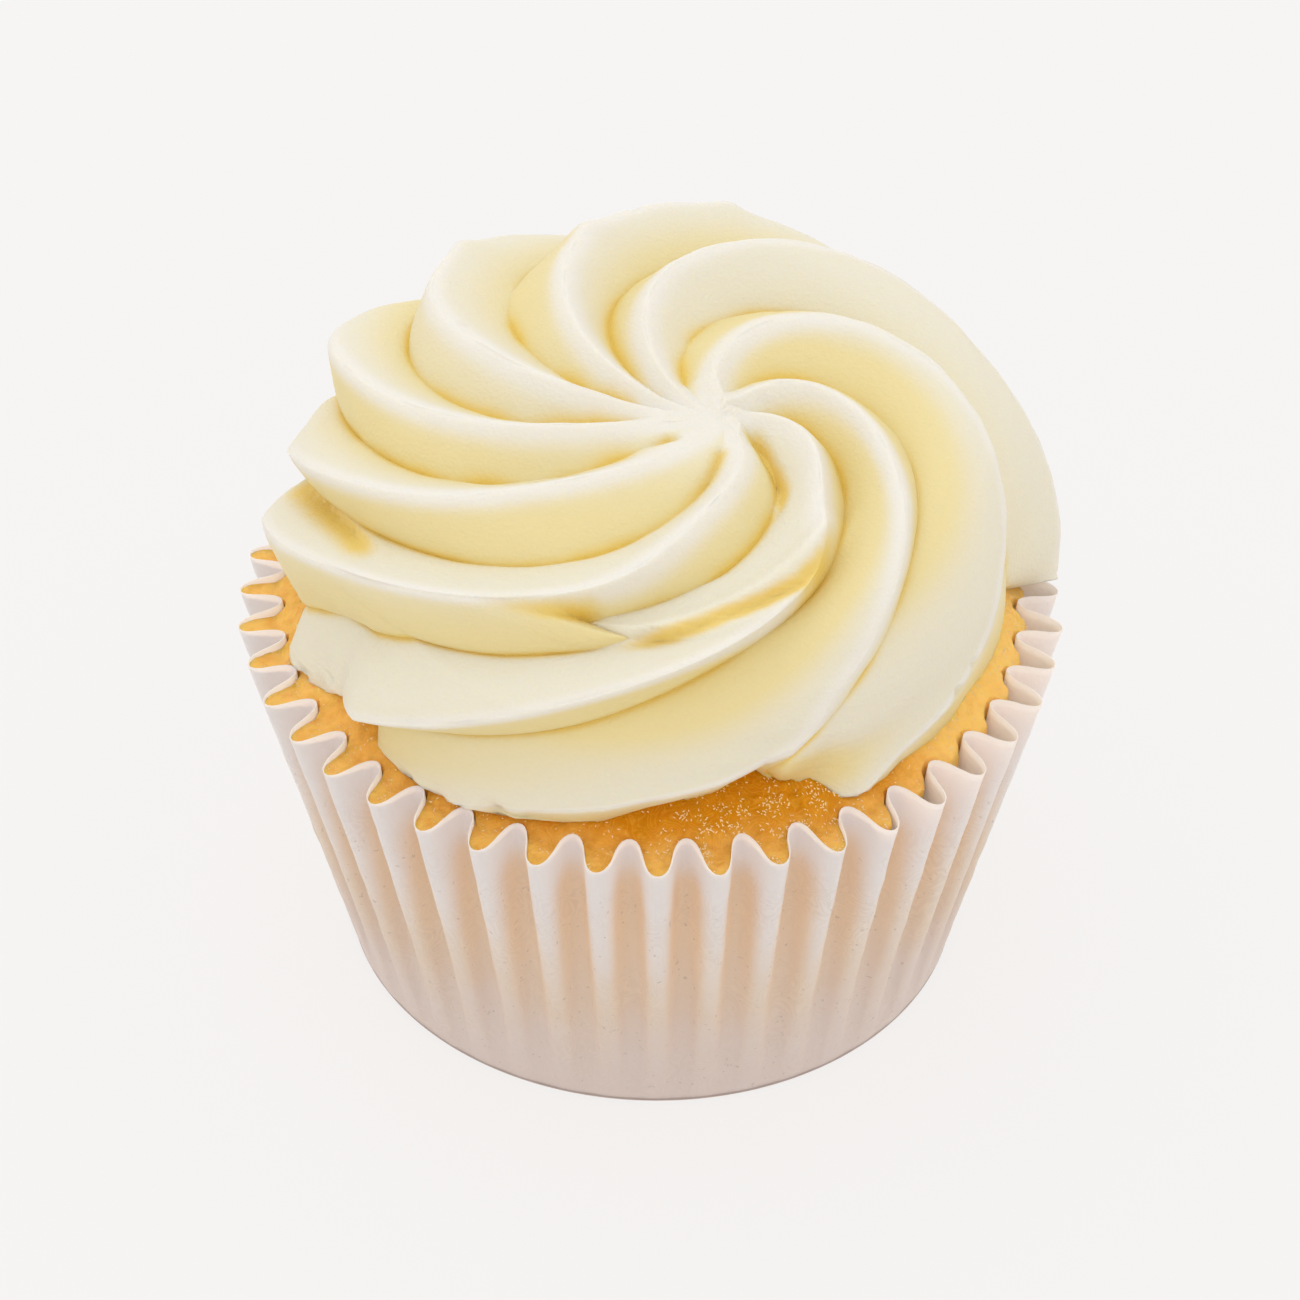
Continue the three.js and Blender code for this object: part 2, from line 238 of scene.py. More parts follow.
def fluted_case_tree(material):
    tree = bpy.data.node_groups.new("fluted_case", "GeometryNodeTree")
    tree.interface.new_socket("Geometry", in_out="OUTPUT", socket_type="NodeSocketGeometry")
    add_input(tree, "Columns", "NodeSocketInt", FLUTES * CASE_STEPS + 1)
    add_input(tree, "Rows", "NodeSocketInt", CASE_ROWS + 1)
    add_input(tree, "Flutes", "NodeSocketFloat", FLUTES)
    add_input(tree, "Flute depth", "NodeSocketFloat", FLUTE_DEPTH)
    add_input(tree, "Base radius", "NodeSocketFloat", BASE_RADIUS)
    add_input(tree, "Rim radius", "NodeSocketFloat", RIM_RADIUS)
    add_input(tree, "Wall length", "NodeSocketFloat", WALL_LENGTH)
    add_input(tree, "Crinkle", "NodeSocketFloat", CRINKLE_HEIGHT)
    given = tree.nodes.new("NodeGroupInput").outputs
    flutes, depth, base, rim, wall, crinkle = (
        Value(tree, given[name])
        for name in ("Flutes", "Flute depth", "Base radius", "Rim radius", "Wall length", "Crinkle")
    )
    grid = tree.nodes.new("GeometryNodeMeshGrid")
    tree.links.new(given["Columns"], grid.inputs["Vertices X"])
    tree.links.new(given["Rows"], grid.inputs["Vertices Y"])
    here = tree.nodes.new("GeometryNodeInputPosition").outputs[0]
    across_grid, up_grid, above_floor = parts_of(tree, here)
    round_case = across_grid + 0.5
    along = up_grid + 0.5

    # each flute is a little deeper or shallower than the next, and leans a little its own way
    phase = round_case * flutes
    uneven = node_with(tree, "ShaderNodeTexNoise", noise_dimensions="4D")
    bearing_plain = round_case * (2 * math.pi)
    circle = node_with(
        tree,
        "ShaderNodeCombineXYZ",
        [("X", bearing_plain.math("COSINE").socket), ("Y", bearing_plain.math("SINE").socket)],
    )
    tree.links.new(circle.outputs[0], uneven.inputs["Vector"])
    uneven.inputs["Scale"].default_value = 5.0
    uneven.inputs["W"].default_value = 3.0
    unevenness = Value(tree, uneven.outputs["Fac"]) - 0.5

    share = ((along - BASE_SHARE) / (1 - BASE_SHARE)).between(0, 1)
    disc = (along / BASE_SHARE).between(0, 1)
    leaning = phase + unevenness * share * FLUTE_LEAN
    squared = leaning + (leaning * (4 * math.pi)).math("SINE") * FLUTE_SQUARENESS
    even = squared * (2 * math.pi) / flutes + FLUTE_START
    bearing = even + even.math("COSINE").math("POWER", 3) * FLUTE_CROWDING
    swell = depth * (unevenness * FLUTE_UNEVENNESS + 1) * share * (leaning * (2 * math.pi)).math("COSINE")
    out = (rim - base) * share + swell
    reach = wall * share
    height = (reach * reach - out * out).math("MAXIMUM", 0).math("SQRT")
    radius = base * disc + out
    still = share * -1 + 1
    point = node_with(
        tree,
        "ShaderNodeCombineXYZ",
        [
            ("X", (radius * bearing.math("COSINE") + still * BASE_X).socket),
            ("Y", (radius * bearing.math("SINE") + still * BASE_Y).socket),
            ("Z", (height + BASE_LEVEL).socket),
        ],
    )
    # a smooth law per corner, kept for the paper's finish: flutes round, share up
    sheet = node_with(tree, "ShaderNodeCombineXYZ", [("X", phase.socket), ("Y", share.socket)])
    mapped = node_with(tree, "GeometryNodeStoreNamedAttribute", data_type="FLOAT2", domain="CORNER")
    mapped.inputs["Name"].default_value = "UVMap"
    tree.links.new(grid.outputs["Mesh"], mapped.inputs["Geometry"])
    tree.links.new(sheet.outputs[0], mapped.inputs["Value"])
    shaped = node_with(
        tree, "GeometryNodeSetPosition", [("Geometry", mapped.outputs[0]), ("Position", point.outputs[0])]
    )
    joined = node_with(tree, "GeometryNodeMergeByDistance", [("Geometry", shaped.outputs[0])])
    joined.inputs["Distance"].default_value = 0.002 * MM

    # small soft creases pressed into the paper's wall; the base lies flat
    creases = noise_of(tree, here, CRINKLE_SCALE, 2) - 0.5
    push = creases * above_floor.ramp(CRINKLE_FROM, CRINKLE_FULL) * crinkle * 2
    normal = tree.nodes.new("GeometryNodeInputNormal").outputs[0]
    offset = node_with(tree, "ShaderNodeVectorMath", [(0, normal)], operation="SCALE")
    tree.links.new(push.socket, offset.inputs["Scale"])
    pressed = node_with(
        tree, "GeometryNodeSetPosition", [("Geometry", joined.outputs[0]), ("Offset", offset.outputs[0])]
    )
    return hand_out(tree, pressed.outputs[0], material)


def made_by_nodes(name, tree, start=None):
    """The finished mesh of a node tree as a plain object at the origin."""
    holder = bpy.data.objects.new(name + "_maker", start or bpy.data.meshes.new(name + "_start"))
    bpy.context.scene.collection.objects.link(holder)
    maker = holder.modifiers.new("maker", "NODES")
    maker.node_group = tree
    bpy.context.view_layer.update()
    graph = bpy.context.evaluated_depsgraph_get()
    made = holder.evaluated_get(graph)
    mesh = bpy.data.meshes.new_from_object(made, preserve_all_data_layers=True, depsgraph=graph)
    mesh.name = name
    bpy.data.objects.remove(holder)
    piece = bpy.data.objects.new(name, mesh)
    bpy.context.scene.collection.objects.link(piece)
    return piece


def layered(tree, shader, ground, layers):
    """The base colour: a ground, with tints laid over it in turn, each as strong as its amount says."""
    colour = None
    for amount, tint in layers:
        mix = node_with(tree, "ShaderNodeMix", [("Factor", amount.socket)], data_type="RGBA")
        if colour is None:
            mix.inputs["A"].default_value = ground
        else:
            tree.links.new(colour, mix.inputs["A"])
        mix.inputs["B"].default_value = tint
        colour = mix.outputs["Result"]
    tree.links.new(colour, shader.inputs["Base Color"])


def textured(tree, shader, relief, strength, distance):
    """Relief that is too fine for the mesh."""
    bump = node_with(tree, "ShaderNodeBump", [("Height", relief.socket)])
    bump.inputs["Strength"].default_value = strength
    bump.inputs["Distance"].default_value = distance
    tree.links.new(bump.outputs[0], shader.inputs["Normal"])


def paper_finish():
    paint, tree, shader = new_paint(
        "greaseproof_paper",
        {
            "Roughness": 0.72,
            "Specular IOR Level": 0.3,
            "Subsurface Weight": 0.45,
            "Subsurface Radius": (1.0, 0.8, 0.6),
            "Subsurface Scale": 1.0 * MM,
        },
    )
    uv = node_with(tree, "ShaderNodeUVMap", uv_map="UVMap")
    phase, share = parts_of(tree, uv.outputs[0])[:2]
    here = tree.nodes.new("ShaderNodeTexCoord").outputs["Object"]

    # tanned and see-through where it touches the cake: the inner folds, and lower down all of it
    wander = noise_of(tree, here, 160, 4) - 0.5
    inner = (phase * (2 * math.pi)).math("COSINE") * -0.5 + 0.5 + wander * 0.6
    lower = ((share + wander * 0.1) * -1 + 0.86).between(-1, 0.5)
    below_rim = (share + wander * 0.1).ramp(0.95, 0.84)
    touched = (inner + lower * 1.5).ramp(0.0, 0.9) * below_rim * (share + wander * 0.3).ramp(0.0, 0.4)
    # darker towards the base
    foot = (share + wander * 0.35).ramp(0.75, 0.0)
    specks = noise_of(tree, here, 2400, 2).ramp(0.66, 0.74) * share.ramp(1.0, 0.7)
    whorls = (noise_of(tree, here, 420, 1, 0.6) * 80).math("SINE") * 0.5 + 0.5
    curls = whorls * (wander * 3 + 0.5).between(0, 1) * share.ramp(1.0, 0.75)
    # a painted contact shadow: a thin dark line where the wall meets the floor
    painted_contact_shadow = share.ramp(0.0, 0.002) * share.ramp(0.014, 0.007)
    layered(
        tree,
        shader,
        (0.96, 0.85, 0.79, 1),
        [
            (touched * 0.9, (0.95, 0.69, 0.46, 1)),
            (foot * 0.85, (0.77, 0.575, 0.49, 1)),
            (curls * 0.2, (0.66, 0.47, 0.36, 1)),
            (specks * 0.4, (0.45, 0.33, 0.25, 1)),
            (painted_contact_shadow * 0.7, (0.36, 0.25, 0.22, 1)),
        ],
    )
    textured(tree, shader, noise_of(tree, here, 1500, 4, 1.2) - curls * 0.2, 0.6, 0.1 * MM)
    return paint


paper_paint = paper_finish()
case = made_by_nodes("paper_cup", fluted_case_tree(paper_paint))
thickness = case.modifiers.new("thickness", "SOLIDIFY")
thickness.thickness = PAPER
thickness.offset = 0
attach(case, "root")
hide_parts("paper_case")


# Sponge: baked in the case, so its side follows the flutes, and its top has risen into a low dome. It fills
# the flutes to the rim but for the right-hand side, where it has shrunk back from the outer folds. The crumb
# is moist and glossy, finely rippled and pitted.
GAP = 0.3 * MM
SPONGE_BULGE = 1.7 * MM
CLING = 0.036 * MM
HANG_BACK = 2.2 * MM
HANG_FROM = 0.5
HANG_OVER = 0.25
SPONGE_STEPS = 24
SPONGE_WALL = 0.93
SPONGE_FILL = 0.045
SPONGE_EDGE = 28.2 * MM
SPONGE_EDGE_RADIUS = 28.6 * MM
SPONGE_DOME = 5.4 * MM
SPONGE_RISE = 0.22 * MM
SPONGE_TOP_SHARES = np.r_[np.linspace(0.1, 0.8, 8), np.linspace(0.82, 0.995, 26)]
BRIM_TURNS = np.radians([20, 42, 65, 84])
PRESSED_SHARES = (0.92, 0.9, 0.86, 0.8, 0.7)
HIDDEN_SHARES = (0.5, 0.25)

# lumps of the crumb: how high, how wide, octaves of noise and seed
CRUMB_LUMPS = ((0.12 * MM, 1.5 * MM, 2, 1.0), (0.1 * MM, 0.6 * MM, 3, 5.0))
CRUMB_SINK = 0.03 * MM
CRUMB_CENTRE = 20 * MM
CRUMB_UPWARD = 1.5
BASE_EDGE_SHARE = 0.02
BASE_DRAWN_IN = 0.985


def flute_bearing(phase):
    squared = phase + FLUTE_SQUARENESS * np.sin(4 * np.pi * phase)
    even = FLUTE_START + 2 * np.pi * squared / FLUTES
    return even + FLUTE_CROWDING * np.cos(even) ** 3


def shrunk_back(phase):
    """How far the sponge has left the outer folds, 0 to 1, for each place round the case."""
    across = np.clip((np.cos(flute_bearing(phase)) - HANG_FROM) / HANG_OVER, 0, 1)
    return across * across * (3 - 2 * across)


def sponge_side(share, phase):
    """The sponge's side that share of the way up the paper: full in each outer fold, clear of the paper."""
    s = share * WALL_LENGTH
    out = (RIM_RADIUS - BASE_RADIUS - FLUTE_DEPTH) * share
    bulge = SPONGE_BULGE * share * (0.5 + 0.5 * np.cos(2 * np.pi * phase))
    radius = BASE_RADIUS + out - CAD_PAPER / 2 - GAP / 3 + bulge
    a = flute_bearing(phase)
    x = BASE_X * (1 - share) + radius * np.cos(a)
    y = BASE_Y * (1 - share) + radius * np.sin(a)
    return np.stack([x, y, np.sqrt(s * s - out * out) + 0 * x], -1)


paper_points = [v.co for v in case.data.vertices]
paper_wall = BVHTree.FromPolygons(paper_points, [f.vertices for f in case.data.polygons])


def against_paper(ring, phase):
    """The ring moved out or in until it lies just inside the paper."""
    moved = ring.copy()
    clear = CLING + HANG_BACK * shrunk_back(phase) * (0.5 + 0.5 * np.cos(2 * np.pi * phase))
    for point, gap in zip(moved, clear):
        outward = Vector((point[0], point[1], 0)).normalized()
        distance = paper_wall.ray_cast(Vector((0, 0, point[2])), outward)[3]
        point[:2] = np.array(outward[:2]) * (distance - gap)
    return moved


def sponge_top(radius):
    """How high the dome stands that far from the middle."""
    share = np.minimum(radius / SPONGE_EDGE_RADIUS, 1)
    return SPONGE_EDGE + SPONGE_DOME * (1 - share**4) + SPONGE_RISE


def closed_mesh(name, first, rings, last):
    """A closed mesh from rings of points, all of the same count, with one point at each end."""
    count = len(rings[0])
    points = np.vstack([[first], *rings, [last]])
    faces = []
    final = len(points) - 1
    for i in range(count):
        j = (i + 1) % count
        faces.append((0, 1 + i, 1 + j))
        base = 1 + (len(rings) - 1) * count
        faces.append((final, base + j, base + i))
    ring = np.arange(count)
    following = (ring + 1) % count
    for r in range(len(rings) - 1):
        a = 1 + r * count
        b = a + count
        faces += np.stack([a + ring, b + ring, b + following, a + following], -1).tolist()
    mesh = bpy.data.meshes.new(name)
    mesh.from_pydata(points.tolist(), [], faces)
    mesh.shade_smooth()
    piece = bpy.data.objects.new(name, mesh)
    bpy.context.scene.collection.objects.link(piece)
    return piece


def rough(points, size, octaves, seed):
    """Soft noise in [-1, 1] at each point, for lumps of that size."""
    shift = Vector((seed, 2.7 * seed, -1.3 * seed))
    return np.array([noise.fractal(Vector(p) / size + shift, 0.8, 2.0, octaves) for p in points])


def with_crumb(ring, amount):
    outward = ring.copy()
    outward[:, 2] = (ring[:, 2] - CRUMB_CENTRE) * CRUMB_UPWARD
    outward /= np.linalg.norm(outward, axis=1)[:, None]
    relief = sum(high * rough(ring, wide, octaves, seed) for high, wide, octaves, seed in CRUMB_LUMPS)
    return ring + outward * ((relief - CRUMB_SINK) * amount)[:, None]


def sponge_rings():
    phase = (np.arange(FLUTES * SPONGE_STEPS) + 0.5) / SPONGE_STEPS
    wall = SPONGE_WALL + SPONGE_FILL * (0.75 + 0.25 * np.cos(2 * np.pi * phase)) * (1 - shrunk_back(phase))
    shoulder = against_paper(sponge_side(wall, phase), phase)
    edge = np.hypot(shoulder[:, 0], shoulder[:, 1])
    outward = shoulder[:, :2] / edge[:, None]
    rings = []
    for share in SPONGE_TOP_SHARES:
        radius = edge * share
        ring = np.column_stack([outward * radius[:, None], sponge_top(radius)])
        rings.append(with_crumb(ring, 1.0))
    brim = ring
    for turn in BRIM_TURNS:
        mix = math.sin(turn)
        ring = brim * (1 - mix) + shoulder * mix
        ring[:, 2] = shoulder[:, 2] + (brim[:, 2] - shoulder[:, 2]) * math.cos(turn)
        rings.append(with_crumb(ring, math.cos(turn)))
    for share in PRESSED_SHARES:
        rings.append(against_paper(sponge_side(share, phase), phase))
    for share in HIDDEN_SHARES:
        rings.append(sponge_side(share, phase))
    foot = sponge_side(BASE_EDGE_SHARE, phase)
    foot[:, :2] = foot[:, :2] * BASE_DRAWN_IN
    foot[:, 2] = CAD_PAPER + GAP
    rings.append(foot)
    return rings


def crumb_finish():
    paint, tree, shader = new_paint(
        "golden_crumb",
        {
            "Roughness": 0.36,
            "Specular IOR Level": 0.05,
            "Subsurface Weight": 0.6,
            "Subsurface Radius": (1.0, 0.4, 0.08),
            "Subsurface Scale": 0.8 * MM,
        },
    )
    here = tree.nodes.new("ShaderNodeTexCoord").outputs["Object"]
    x, y = (part / MM for part in parts_of(tree, here)[:2])

    # browned, and in painted shade, under the buttercream at the front; paler at the sides, a painted light;
    # darker in the pits, a painted shade; with fine wavy lines
    uneven = noise_of(tree, here, 420, 5) - 0.5
    reach = (x * x + y * y).math("SQRT") + uneven * 3.0
    browned_and_shaded = reach.ramp(29.6, 26.6) * (y + uneven * 10).ramp(-6, -22)
    painted_side_light = x.ramp(16, 23) + x.ramp(-15, -23) * 0.5
    pit_shade = noise_of(tree, here, 850, 2, 0.3).ramp(0.4, 0.7) * (painted_side_light * -0.3 + 0.4)
    whorls = (noise_of(tree, here, 520, 1, 0.8) * 75).math("SINE").ramp(0.2, 1.0) * 0.2
    layered(
        tree,
        shader,
        (0.91, 0.50, 0.12, 1),
        [
            (browned_and_shaded, (0.68, 0.265, 0.004, 1)),
            (painted_side_light, (1.0, 0.60, 0.17, 1)),
            (pit_shade, (0.58, 0.20, 0.006, 1)),
            (whorls, (1.0, 0.56, 0.10, 1)),
        ],
    )
    pores = node_with(tree, "ShaderNodeTexVoronoi", [("Vector", here)], feature="SMOOTH_F1")
    pores.inputs["Scale"].default_value = 1500
    relief = Value(tree, pores.outputs["Distance"]) * 0.5 + noise_of(tree, here, 1300, 4, 1.5)
    textured(tree, shader, relief, 0.8, 0.2 * MM)
    return paint


sponge = closed_mesh(
    "golden_sponge",
    (0, 0, float(sponge_top(0.0))),
    sponge_rings(),
    (BASE_X, BASE_Y, CAD_PAPER + GAP),
)
sponge.data.materials.append(crumb_finish())
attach(sponge, "root")
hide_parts("sponge_cake")


# Glint beads: tiny pale, glossy beads stuck to the crumb on the sponge's top; their pale colour is a painted
# highlight for the glints on the moist crumb. They lie in loose clusters, thickest in a patch at the front.
def scattered_beads_tree(material):
    tree = bpy.data.node_groups.new("painted_glint_beads", "GeometryNodeTree")
    tree.interface.new_socket("Geometry", in_out="INPUT", socket_type="NodeSocketGeometry")
    tree.interface.new_socket("Geometry", in_out="OUTPUT", socket_type="NodeSocketGeometry")
    add_input(tree, "Beads per square metre", "NodeSocketFloat", 1.7e7)
    add_input(tree, "Bead radius", "NodeSocketFloat", 0.07 * MM)
    add_input(tree, "Lowest", "NodeSocketFloat", 27.2 * MM)
    add_input(tree, "Cluster size", "NodeSocketFloat", 1.0 * MM)
    add_input(tree, "Glint patch centre", "NodeSocketVector", (8.5 * MM, -26.5 * MM, 28.5 * MM))
    add_input(tree, "Glint patch radius", "NodeSocketFloat", 9 * MM)
    add_input(tree, "Seed", "NodeSocketInt", 11)
    given = tree.nodes.new("NodeGroupInput").outputs
    here = tree.nodes.new("GeometryNodeInputPosition").outputs[0]
    height = parts_of(tree, here)[2]
    cluster = node_with(tree, "ShaderNodeTexNoise", [("Vector", here)])
    cluster.inputs["Detail"].default_value = 1.0
    tree.links.new((Value(tree, given["Cluster size"]).math("POWER", -1)).socket, cluster.inputs["Scale"])
    crowding = Value(tree, cluster.outputs["Fac"]).ramp(0.44, 0.6)
    centre = given["Glint patch centre"]
    apart = node_with(tree, "ShaderNodeVectorMath", [(0, here), (1, centre)], operation="DISTANCE")
    way_out = Value(tree, apart.outputs["Value"]) / Value(tree, given["Glint patch radius"])
    in_glint_patch = way_out.ramp(1.0, 0.5) * 0.85 + 0.15
    shown = (height - Value(tree, given["Lowest"])).math("GREATER_THAN", 0)
    density = crowding * shown * in_glint_patch * Value(tree, given["Beads per square metre"])
    scatter = node_with(
        tree,
        "GeometryNodeDistributePointsOnFaces",
        [("Mesh", given["Geometry"]), ("Density", density.socket)],
    )
    tree.links.new(given["Seed"], scatter.inputs["Seed"])
    bead = node_with(tree, "GeometryNodeMeshIcoSphere", [("Radius", given["Bead radius"])])
    bead.inputs["Subdivisions"].default_value = 1
    size = node_with(tree, "FunctionNodeRandomValue", data_type="FLOAT_VECTOR")
    size.inputs["Min"].default_value = (0.8, 0.6, 0.4)
    size.inputs["Max"].default_value = (2.4, 1.0, 0.7)
    size.inputs["Seed"].default_value = 4
    turn = node_with(tree, "FunctionNodeRandomValue", data_type="FLOAT_VECTOR")
    turn.inputs["Min"].default_value = (0, 0, 0)
    turn.inputs["Max"].default_value = (0, 0, 2 * math.pi)
    turn.inputs["Seed"].default_value = 8
    spin = node_with(tree, "FunctionNodeEulerToRotation", [("Euler", turn.outputs["Value"])])
    turned = node_with(
        tree,
        "FunctionNodeRotateRotation",
        [("Rotation", scatter.outputs["Rotation"]), ("Rotate By", spin.outputs[0])],
        rotation_space="LOCAL",
    )
    placed = node_with(
        tree,
        "GeometryNodeInstanceOnPoints",
        [
            ("Points", scatter.outputs["Points"]),
            ("Instance", bead.outputs["Mesh"]),
            ("Rotation", turned.outputs[0]),
            ("Scale", size.outputs["Value"]),
        ],
    )
    return hand_out(tree, placed.outputs[0], material)


glint_paint = new_paint("painted_glint_beads", {"Base Color": (1.0, 0.72, 0.38, 1), "Roughness": 0.15})[0]
beads = made_by_nodes("painted_glint_beads", scattered_beads_tree(glint_paint), sponge.data)
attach(beads, "root")
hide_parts("sponge_cake")


# Buttercream: one rosette piped over the whole top with an open nozzle, so its folds sweep clockwise from the
# swirl's centre out to the foot, each with a soft crest, a nearly flat face and a sharp crease behind it.
MOUND_RADIUS = 29.95 * MM
MOUND_FOOT = 29.7 * MM
MOUND_HEIGHT = 19.8 * MM
SIDE_POWER = 5.6
TOP_POWER = 2.05
MOUND_SHIFT = 0.9 * MM
FOOT_TUCK = 1.4 * MM
FOOT_START = 0.75
LEAN_BACK = 0.075
LEAN_LEFT = 0.03
SWIRL_X = 4.8 * MM
SWIRL_Y = -1.9 * MM
CENTRE_DIP = 1.6 * MM
DIP_WIDTH = 0.22
CREST_ROUNDING = 0.14
FACE_HOLLOW = 0.3
OVERHANG_LEVEL = 29.4 * MM
FOOT_BLEND = 8
SWIRL_ROWS = 290
FOLD_COLUMNS = 36
COLUMN_CROWDING = 0.75

# shares of the way out at which the lists below give their values, and the place and depth of a crease on the
# folds that have none of their own
STATIONS = np.array([0.1, 0.3, 0.5, 0.7, 0.85, 1])
PLAIN_SHARE = [0.5, 0.5, 0.48, 0.44, 0.4, 0.4]
PLAIN_DEPTH = [0.1, 2.2, 2.6, 2.5, 2.0, 1.4]

# for each fold: the crest's bearing in degrees, how far round towards the next fold its crease lies, how deep
# that crease is, and how far the crest itself lies inside the mound, both in millimetres
FOLDS = [
    (
        [166, 138, 108, 70, 51, 36],
        PLAIN_SHARE,
        [0.5, 2.2, 2.6, 1.4, 0.8, 0.8],
        [0, 0, -0.3, -1.9, -1.8, -0.6],
    ),
    (
        [187, 172, 151.5, 112, 92, 76],
        PLAIN_SHARE,
        [0.1, 2.2, 2.4, 1.3, 0.5, 0.8],
        [0, 0, -0.3, -0.95, -0.7, 0],
    ),
    (
        [207, 201, 183, 154, 134, 118],
        PLAIN_SHARE,
        [0.1, 2.2, 2.6, 1.9, 1.1, 1],
        [0, 0, -0.1, -1.55, -1.1, 0],
    ),
    (
        [248, 231, 213, 184, 163, 148],
        [0.65, 0.62, 0.45, 0.37, 0.35, 0.35],
        PLAIN_DEPTH,
        [0, 0, 0, -0.25, 0, 0],
    ),
    (
        [298, 273, 254, 210, 183, 172],
        [0.5, 0.47, 0.2, 0.58, 0.47, 0.42],
        [1.4, 2.6, 2.8, 2.6, 2.6, 1.8],
        [0, 0, 0, -0.3, -1.05, -0.6],
    ),
    (
        [352, 314, 295, 257, 232, 207],
        [0.5, 0.4, 0.08, 0.28, 0.25, 0.2],
        [1.4, 2.8, 2.4, 2.8, 2.4, 1.6],
        [0, 0, 0, -0.3, -0.6, -0.8],
    ),
    (
        [396, 348, 319, 298, 285, 240],
        [0.5, 0.4, 0.16, 0.14, 0.16, 0.82],
        [1.2, 2.6, 2, 1.8, 2.4, 4.4],
        [0, 0, 0, 0.8, 1.6, 0.4],
    ),
    (
        [448, 406, 364, 341, 331, 301],
        [0.6, 0.55, 0.3, 0.2, 0.5, 0.95],
        [1, 2.8, 3.2, 3.6, 3.4, 3],
        [0, 0, 0.2, 1.5, 2.2, 0.6],
    ),
    (
        [498, 464, 424, 389, 374, 365],
        PLAIN_SHARE,
        [0.8, 2.4, 2.8, 0.8, 0.8, 1.2],
        [0, 0, -0.1, -0.2, -1.15, -1.85],
    ),
]

# the foot isn't round: how far its edge is drawn in, in millimetres, at bearings round it, and the share of
# the way out from which the mound gives way to it
TRIM_START = 0.6
TRIM_AT = [184, 197, 202, 207, 213, 219, 223, 235, 262, 268, 279, 286, 290, 297, 302, 311, 333, 350]
TRIM_BY = [0, -1.2, -0.1, 1.5, 2.4, 0.7, -0.7, -0.9, -0.55, 0.1, 0, 1.2, -0.5, 1.2, 0.5, 1.35, 1, 0]

# how strong the painted yellow shade is on each fold's face before its crease and on the one after it
SHADE_YELLOWING = [
    (1, 0.7),
    (0.6, 0.9),
    (1, 0.8),
    (1.15, 0.4),
    (0.9, 0),
    (1, 2.3),
    (1, 2),
    (1.7, 0.35),
    (1, 0.8),
]
CENTRE_YELLOW = 0.55
CENTRE_REACH = 0.3

# the fifth fold's crease doubles back where the sixth fold's spur runs over it: degrees added to its bearing
KINKED_FOLD = 4
KINK_AT = [0.4, 0.473, 0.5, 0.545, 0.569, 0.604, 0.642, 0.681, 0.738, 0.8]
KINK_BY = [0, -1.6, -1.8, -3, 9, 7.7, 4.1, 1, -5, 0]

# narrow cuts where two folds part or one runs out, and the small raised hook at the centre: half their width
# in millimetres, then the share of the way out, the bearing in degrees and the depth in millimetres at points
# along each
CUTS = [
    (
        1.0,
        [
            (0.385, 311.2, 0.0),
            (0.454, 301.4, 0.45),
            (0.488, 294.2, 0.7),
            (0.504, 287.7, 0.8),
            (0.527, 278.3, 0.8),
            (0.55, 272.0, 0.7),
            (0.573, 265.9, 0.5),
            (0.604, 256.9, 0.0),
        ],
    ),
    (
        0.9,
        [(0.53, 254.5, 0.3), (0.542, 252.5, 0.6), (0.562, 246.9, 0.45), (0.581, 239.9, 0.2), (0.6, 232, 0)],
    ),
    (
        1.3,
        [(0.83, 172.5, 0), (0.804, 178.5, 0.6), (0.742, 188.3, 1.1), (0.688, 199.3, 1.2), (0.655, 210, 0.3)],
    ),
    (
        0.9,
        [(0.06, 333, 0), (0.088, 324.7, 0.6), (0.146, 314.1, 1), (0.227, 306.4, 0.7), (0.3, 296, 0)],
    ),
    (
        0.8,
        [(0.095, 277, 0), (0.115, 277.5, 0.45), (0.16, 273, 0.4), (0.22, 267.3, 0.2), (0.27, 262, 0)],
    ),
    (0.6, [(0.09, 238, 0), (0.112, 229, 0.5), (0.15, 225, 0.1)]),
    (
        1.2,
        [
            (0.1, 88.0, 0.0),
            (0.059, 81.4, -0.55),
            (0.014, 56.9, -0.65),
            (0.031, -19.4, -0.7),
            (0.072, -55.5, -0.4),
            (0.1, -66.0, 0.0),
        ],
    ),
]

# small bites out of crests and the foot, and low swells where the depth is below 0: share of the way out,
# bearing, radius and depth
NICKS = [
    (0.55, 99.0, 0.5, 0.35),
    (0.585, 94.0, 0.35, 0.25),
    (0.42, 158.0, 0.4, 0.2),
    (0.985, 246.0, 0.7, 0.5),
    (0.99, 251.5, 0.5, 0.4),
    (0.985, 214.0, 0.6, 0.4),
    (0.33, 218.0, 0.35, 0.2),
    (0.9, 324.3, 0.5, 0.45),
    (0.869, 329.0, 0.45, 0.4),
    (0.99, 266.0, 0.35, 0.35),
    (1.0, 270.5, 0.6, 0.4),
    (0.995, 202.2, 0.5, 0.45),
    (0.96, 209.0, 0.35, 0.3),
    (0.633, 82.0, 1.5, -0.5),
    (0.5, 112.0, 1.5, -0.5),
    (0.61, 130.0, 1.8, -0.6),
    (0.714, 143.0, 2.5, -0.4),
    (0.834, 176.0, 2.0, -0.6),
    (0.779, 160.0, 2.0, -0.45),
]

# how far a cut's edges slope, and how deep and near it has to be to take painted yellow shade or to break a
# crest's painted highlight
CUT_STEPS = 60
CUT_POWER = 1.5
YELLOW_DEPTH = 0.6
YELLOW_REACH = 0.75
BREAK_DEPTH = 0.4
BREAK_REACH = 1.3

